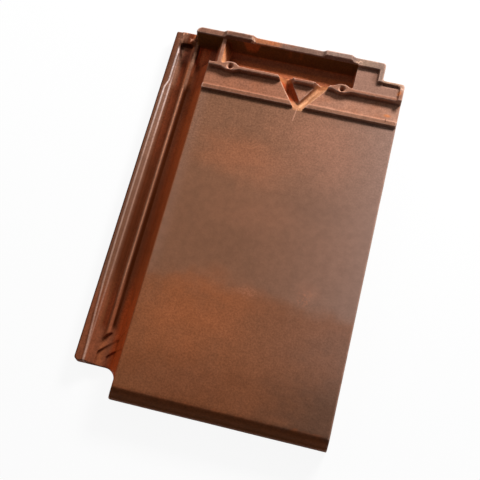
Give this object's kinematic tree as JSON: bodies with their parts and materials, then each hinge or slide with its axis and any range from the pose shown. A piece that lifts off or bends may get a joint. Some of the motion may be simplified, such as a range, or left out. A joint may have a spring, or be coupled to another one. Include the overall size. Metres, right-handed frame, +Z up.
{
  "type": "interlocking clay roof tile",
  "caption": "Flat interlocking fired-clay roof tile with a grooved side lock on the left, a ribbed head with a trough and V-shaped drain, and a rolled nose.",
  "frame": {"origin": "middle of the tile's footprint, at the height it rests on", "axes": "+Y along the tile from the nose to the head, +X across it to the tile's right, +Z up out of the visible face"},
  "size_m": [0.287, 0.4582, 0.043],
  "materials": {
    "fired_clay": "matt flamed red-brown fired clay, sandy surface"
  },
  "bodies": {
    "root": {"roof_tile": "fired_clay"}
  },
  "joints": []
}
